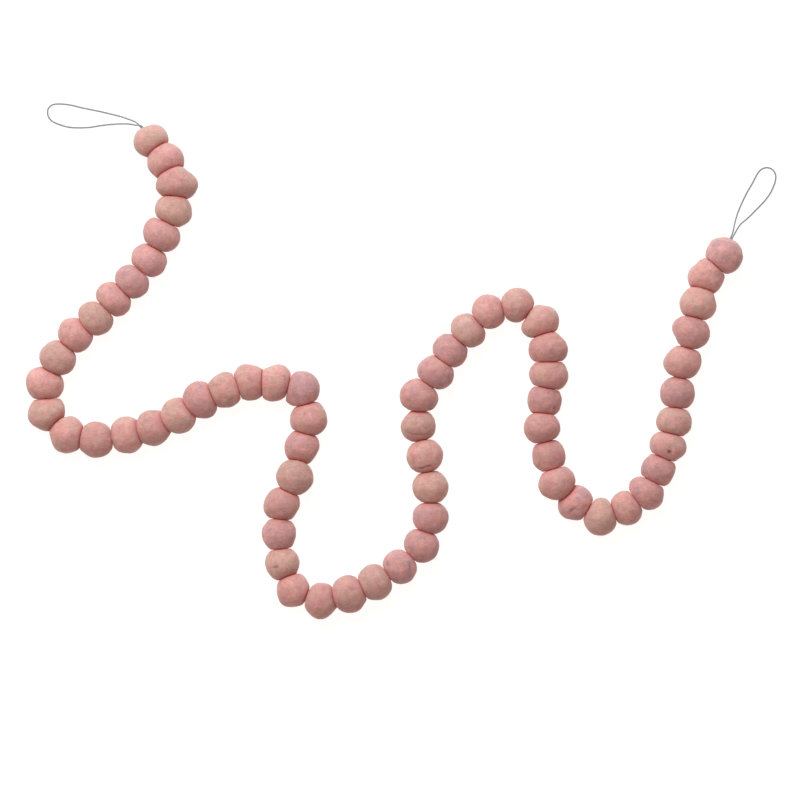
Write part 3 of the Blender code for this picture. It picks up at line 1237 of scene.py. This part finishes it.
def make_loop(name, node, ball_number, mouth, plan, settings, material):
    """A hanging loop: three plies twisted round each other, along the loop's route."""
    half_width = settings.string_width / 2
    route = loop_route(ball_number, mouth, plan, half_width / MM)
    fine = evenly_spaced(route, SECTION_STEP)
    twist = math.tau / PLY_TURN

    outline = bpy.data.curves.new("three_plies", "CURVE")
    corners = outline.splines.new("POLY")
    corners.points.add(SECTION_CORNERS - 1)
    corners.use_cyclic_u = True
    for step, corner in enumerate(corners.points):
        angle = math.tau * step / SECTION_CORNERS
        out = half_width * (PLY_REACH - PLY_RELIEF * (1 - math.cos(PLIES * angle)))
        corner.co = (out * math.cos(angle), out * math.sin(angle), 0.0, 1.0)
    outline_object = bpy.data.objects.new("three_plies", outline)
    bpy.context.scene.collection.objects.link(outline_object)

    curve = bpy.data.curves.new(name, "CURVE")
    curve.dimensions = "3D"
    curve.bevel_mode = "OBJECT"
    curve.bevel_object = outline_object
    curve.use_fill_caps = True
    spline = curve.splines.new("POLY")
    spline.points.add(len(fine) - 1)
    for step, (target, point) in enumerate(zip(spline.points, fine)):
        target.co = (*(point * MM), 1.0)
        target.tilt = step * SECTION_STEP * twist
    mesh = mesh_of(curve)
    bpy.data.objects.remove(outline_object)
    bpy.data.curves.remove(outline)
    mesh.shade_smooth()
    loop = make_object(name, mesh, material, node)


class GARLAND_OT_felt_balls(bpy.types.Operator):
    """Make the felt balls, each one pressed flat against its neighbours"""

    bl_idname = "garland.felt_balls"
    bl_label = "Felt Balls"

    def execute(self, context):
        material = felted_wool(context.scene.garland)
        for number in range(1, LAST + 1):
            make_ball(number, context.scene.garland, material)
        return {"FINISHED"}


class GARLAND_OT_fuzz(bpy.types.Operator):
    """Make the loose wool fibres that stand off the balls"""

    bl_idname = "garland.fuzz"
    bl_label = "Wool Fuzz"

    def execute(self, context):
        material = loose_wool(context.scene.garland)
        for first in range(1, LAST + 1, FUZZ_BALLS):
            numbers = range(first, first + FUZZ_BALLS)
            name = f"fuzz_{first:02d}_{numbers[-1]:02d}"
            make_fuzz(name, numbers, context.scene.garland, material)
        return {"FINISHED"}


class GARLAND_OT_string(bpy.types.Operator):
    """Make the two hanging loops and give the string inside the balls its cotton"""

    bl_idname = "garland.string"
    bl_label = "String and Loops"

    def execute(self, context):
        settings = context.scene.garland
        material = twisted_cotton(settings)
        string = frame["nodes"]["string"]
        string.data.materials.clear()
        string.data.materials.append(material)
        make_loop("left_loop", "loop_left", 1, LEFT_MOUTH, LEFT_LOOP, settings, material)
        make_loop(
            "right_loop", "loop_right", LAST, RIGHT_MOUTH, RIGHT_LOOP, settings, material
        )
        return {"FINISHED"}


# The stage, in metres. The table lies just under the balls.
TABLE_HALF_WIDTH = 6.0
TABLE_LEVEL = -0.0001

# Each light's name, place, width, power in watts and colour.
LIGHTS = (
    ("softbox_above_left", (-0.66, 1.5, 1.89), 1.6, 63.0, "#FFFFFF"),
    ("window_behind", (-0.3, 2.4, 0.75), 1.4, 24.0, "#A0E9FF"),
)
ROOM_COLOUR = "#FFE8E2"
ROOM_BRIGHTNESS = 0.4

# The camera looks straight down on the picture's middle, from far off, so that the
# table and the tops of the balls keep one scale.
VIEW_MIDDLE = (0.01145, -0.02135)
VIEW_WIDTH = 0.6
VIEW_LEVEL = 0.0135
VIEW_REACH = 100.0
LENS = 900.0
SENSOR = 36.0


def add_light(name, place, width, power, tint):
    """A square softbox, or a window, that faces the garland."""
    light = bpy.data.lights.new(name, "AREA")
    light.size = width
    light.energy = power
    light.color = colour(tint)[:3]
    obj = bpy.data.objects.new(name, light)
    obj.location = place
    obj.rotation_euler = Vector(place).to_track_quat("Z", "Y").to_euler()
    obj.visible_camera = False
    bpy.context.scene.collection.objects.link(obj)


class GARLAND_OT_stage(bpy.types.Operator):
    """Make the lit table, the softbox, the window, the room's light and the camera"""

    bl_idname = "garland.stage"
    bl_label = "Stage"

    def execute(self, context):
        scene = context.scene
        bm = bmesh.new()
        bmesh.ops.create_grid(bm, x_segments=1, y_segments=1, size=TABLE_HALF_WIDTH)
        bmesh.ops.translate(bm, verts=bm.verts[:], vec=(0.0, 0.0, TABLE_LEVEL))
        mesh = bpy.data.meshes.new("table")
        bm.to_mesh(mesh)
        bm.free()
        mesh.materials.append(opal_table(scene.garland))
        table = bpy.data.objects.new("table", mesh)
        scene.collection.objects.link(table)

        for light in LIGHTS:
            add_light(*light)
        world = bpy.data.worlds.new("pale_room")
        world.use_nodes = True
        sky = world.node_tree.nodes["Background"]
        sky.inputs["Color"].default_value = colour(ROOM_COLOUR)
        sky.inputs["Strength"].default_value = ROOM_BRIGHTNESS
        scene.world = world

        camera = bpy.data.cameras.new("camera_above")
        camera.lens = LENS
        camera.sensor_width = SENSOR
        camera.clip_end = VIEW_REACH
        above = bpy.data.objects.new("camera_above", camera)
        above.location = (*VIEW_MIDDLE, VIEW_LEVEL + VIEW_WIDTH * LENS / SENSOR)
        scene.collection.objects.link(above)
        scene.camera = above
        scene.view_settings.view_transform = "Standard"
        return {"FINISHED"}


class GARLAND_PT_garland(bpy.types.Panel):
    """Lists the garland's settings and the steps that make it"""

    bl_label = "Felt Ball Garland"
    bl_idname = "GARLAND_PT_garland"
    bl_space_type = "VIEW_3D"
    bl_region_type = "UI"
    bl_category = "Garland"

    def draw(self, context):
        settings = context.scene.garland
        for name in GarlandSettings.__annotations__:
            self.layout.prop(settings, name)
        for step in STEPS:
            self.layout.operator(step.bl_idname)


STEPS = (
    GARLAND_OT_felt_balls,
    GARLAND_OT_fuzz,
    GARLAND_OT_string,
    GARLAND_OT_stage,
)
CLASSES = (GarlandSettings, *STEPS, GARLAND_PT_garland)


def register():
    for item in CLASSES:
        bpy.utils.register_class(item)
    bpy.types.Scene.garland = bpy.props.PointerProperty(type=GarlandSettings)


def unregister():
    del bpy.types.Scene.garland
    for item in reversed(CLASSES):
        bpy.utils.unregister_class(item)


def main():
    register()
    bpy.ops.garland.felt_balls()
    bpy.ops.garland.fuzz()
    bpy.ops.garland.string()
    bpy.ops.garland.stage()


if __name__ == "__main__":
    main()
